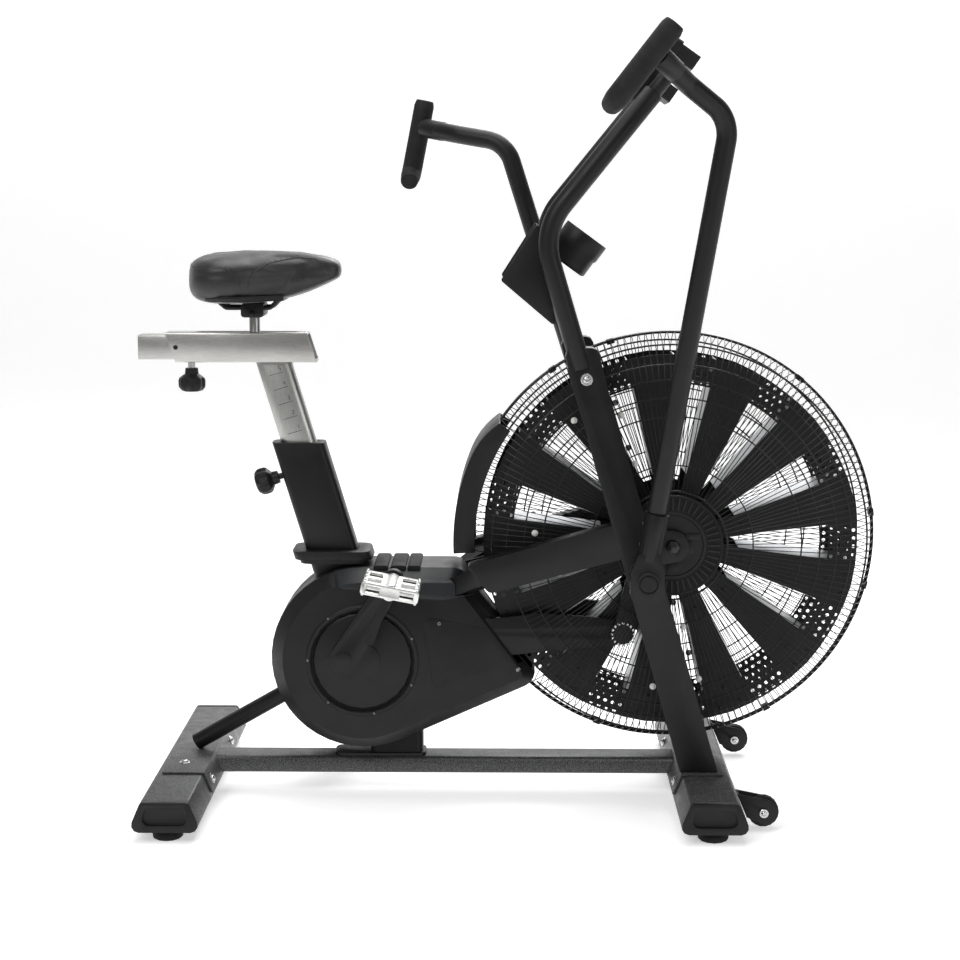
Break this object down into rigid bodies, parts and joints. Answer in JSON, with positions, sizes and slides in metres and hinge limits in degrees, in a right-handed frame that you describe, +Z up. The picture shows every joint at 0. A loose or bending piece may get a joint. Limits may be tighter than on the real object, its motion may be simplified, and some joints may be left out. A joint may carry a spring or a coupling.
{
  "type": "air bike",
  "caption": "Fan exercise bike: pedals and two swinging hand levers drive a caged fan; sliding saddle, console, bottle holder and transport wheels.",
  "frame": {"origin": "on the floor under the middle of the bike", "axes": "+X towards the fan, +Y to the rider's left, +Z up"},
  "size_m": [1.2053, 0.705, 1.249],
  "materials": {
    "black_paint": "satin black powder coat",
    "grey_paint": "dark grey speckled powder coat",
    "black_plastic": "fine-grained black plastic",
    "slate_plastic": "blue-grey plastic",
    "aluminium": "satin anodised",
    "chrome": "polished",
    "steel": "turned steel",
    "rubber": "matte black",
    "leather": "stitched charcoal synthetic leather",
    "screen": "dark display lens"
  },
  "bodies": {
    "frame": {"rear_foot_beam": "grey_paint", "front_foot_beam": "grey_paint", "rear_right_end_cap": "black_plastic", "rear_left_end_cap": "black_plastic", "front_right_end_cap": "black_plastic", "front_left_end_cap": "black_plastic", "main_beam": "grey_paint", "right_wheel_fork": "black_plastic", "left_wheel_fork": "black_plastic", "seat_frame": "black_paint", "seat_tube_collar": "black_plastic", "housing_top_cover": "slate_plastic", "right_housing": "black_plastic", "left_housing": "black_plastic", "drive_belt": "rubber", "fan_axle": "chrome", "right_fan_cage": "black_paint", "left_fan_cage": "black_paint", "right_hub_cover": "black_plastic", "left_hub_cover": "black_plastic", "wind_shield": "black_plastic", "right_side_frame": "black_paint", "left_side_frame": "black_paint", "right_mast_tube": "black_paint", "left_mast_tube": "black_paint", "accessory_tray": "black_plastic", "bottle_holder": "black_plastic", "console_body": "black_plastic", "console_screen": "screen"},
    "fan": {"fan_wheel": "black_paint", "fan_pulley": "steel"},
    "crank": {"crank_axle": "steel", "crank_pulley": "steel", "right_crank_arm": "black_paint", "left_crank_arm": "black_paint"},
    "right_pedal_turning": {"right_pedal": "aluminium"},
    "left_pedal_turning": {"left_pedal": "aluminium"},
    "right_lever": {"right_lever_bracket": "black_paint", "right_lever_tube": "black_paint", "right_lever_grip": "rubber"},
    "left_lever": {"left_lever_bracket": "black_paint", "left_lever_tube": "black_paint", "left_lever_grip": "rubber"},
    "right_rod": {"right_connecting_rod": "black_paint"},
    "left_rod": {"left_connecting_rod": "black_paint"},
    "seat_post_sliding": {"seat_post": "aluminium", "seat_slider_sleeve": "aluminium"},
    "saddle_slide_sliding": {"saddle_slide": "aluminium"},
    "saddle": {"saddle_cushion": "leather", "saddle_pan": "black_plastic", "saddle_clamp": "black_paint"},
    "slider_knob": {"slider_lock_knob": "black_plastic"},
    "post_knob": {"seat_post_lock_knob": "black_plastic"},
    "right_wheel": {"right_transport_wheel": "rubber"},
    "left_wheel": {"left_transport_wheel": "rubber"},
    "rear_right_pad": {"rear_right_levelling_foot": "rubber"},
    "rear_left_pad": {"rear_left_levelling_foot": "rubber"},
    "front_right_pad": {"front_right_levelling_foot": "rubber"},
    "front_left_pad": {"front_left_levelling_foot": "rubber"}
  },
  "joints": [
    {"name": "crank_spin", "type": "hinge", "parent": "frame", "child": "crank", "pos_m": [-0.238, 0, 0.238], "axis": [0, 1, 0], "continuous": true},
    {"name": "fan_spin", "type": "hinge", "parent": "frame", "child": "fan", "pos_m": [0.264, 0, 0.435], "axis": [0, 1, 0], "continuous": true},
    {"name": "right_pedal_spin", "type": "hinge", "parent": "crank", "child": "right_pedal_turning", "pos_m": [-0.18533, -0.15, 0.37738], "axis": [0, 1, 0], "continuous": true},
    {"name": "left_pedal_spin", "type": "hinge", "parent": "crank", "child": "left_pedal_turning", "pos_m": [-0.29067, 0.15, 0.09862], "axis": [0, 1, 0], "continuous": true},
    {"name": "right_lever_swing", "type": "hinge", "parent": "frame", "child": "right_lever", "pos_m": [0.219, 0, 0.394], "axis": [0, 1, 0], "range_deg": [-27, 0]},
    {"name": "left_lever_swing", "type": "hinge", "parent": "frame", "child": "left_lever", "pos_m": [0.219, 0, 0.394], "axis": [0, 1, 0], "range_deg": [0, 27]},
    {"name": "right_rod_pivot", "type": "hinge", "parent": "right_lever", "child": "right_rod", "pos_m": [0.1873, 0, 0.2855], "axis": [0, 1, 0], "range_deg": [0, 27]},
    {"name": "left_rod_pivot", "type": "hinge", "parent": "left_lever", "child": "left_rod", "pos_m": [0.24001, 0, 0.28293], "axis": [0, 1, 0], "range_deg": [-27, 0]},
    {"name": "seat_post_height", "type": "slide", "parent": "frame", "child": "seat_post_sliding", "axis": [-0.2887, 0, 0.9574], "range_m": [-0.085, 0.06]},
    {"name": "saddle_fore_aft", "type": "slide", "parent": "seat_post_sliding", "child": "saddle_slide_sliding", "axis": [1, 0, 0], "range_m": [-0.084, 0.058]},
    {"name": "saddle_tilt", "type": "hinge", "parent": "saddle_slide_sliding", "child": "saddle", "pos_m": [-0.4145, 0, 0.8], "axis": [0, 1, 0], "range_deg": [-4, 4]},
    {"name": "slider_knob_pull", "type": "slide", "parent": "seat_post_sliding", "child": "slider_knob", "axis": [0, 0, -1], "range_m": [0, 0.009], "stiffness_N_per_m": 900},
    {"name": "post_knob_pull", "type": "slide", "parent": "frame", "child": "post_knob", "axis": [-0.9574, 0, -0.2887], "range_m": [0, 0.009], "stiffness_N_per_m": 900},
    {"name": "right_wheel_spin", "type": "hinge", "parent": "frame", "child": "right_wheel", "pos_m": [0.4035, -0.2065, 0.0306], "axis": [0, 1, 0], "continuous": true},
    {"name": "left_wheel_spin", "type": "hinge", "parent": "frame", "child": "left_wheel", "pos_m": [0.4035, 0.2065, 0.0306], "axis": [0, 1, 0], "continuous": true},
    {"name": "rear_right_pad_turn", "type": "hinge", "parent": "frame", "child": "rear_right_pad", "pos_m": [-0.531, -0.258, 0.01], "axis": [0, 0, 1], "range_deg": [-180, 180]},
    {"name": "rear_left_pad_turn", "type": "hinge", "parent": "frame", "child": "rear_left_pad", "pos_m": [-0.531, 0.258, 0.01], "axis": [0, 0, 1], "range_deg": [-180, 180]},
    {"name": "front_right_pad_turn", "type": "hinge", "parent": "frame", "child": "front_right_pad", "pos_m": [0.3204, -0.258, 0.01], "axis": [0, 0, 1], "range_deg": [-180, 180]},
    {"name": "front_left_pad_turn", "type": "hinge", "parent": "frame", "child": "front_left_pad", "pos_m": [0.3204, 0.258, 0.01], "axis": [0, 0, 1], "range_deg": [-180, 180]}
  ],
  "couplings": [
    {"joint": "fan_spin", "follows": "crank_spin", "ratio": 3.1667},
    {"joint": "left_lever_swing", "follows": "right_lever_swing", "ratio": -1},
    {"joint": "right_rod_pivot", "follows": "right_lever_swing", "ratio": -1},
    {"joint": "left_rod_pivot", "follows": "right_lever_swing", "ratio": 1}
  ]
}
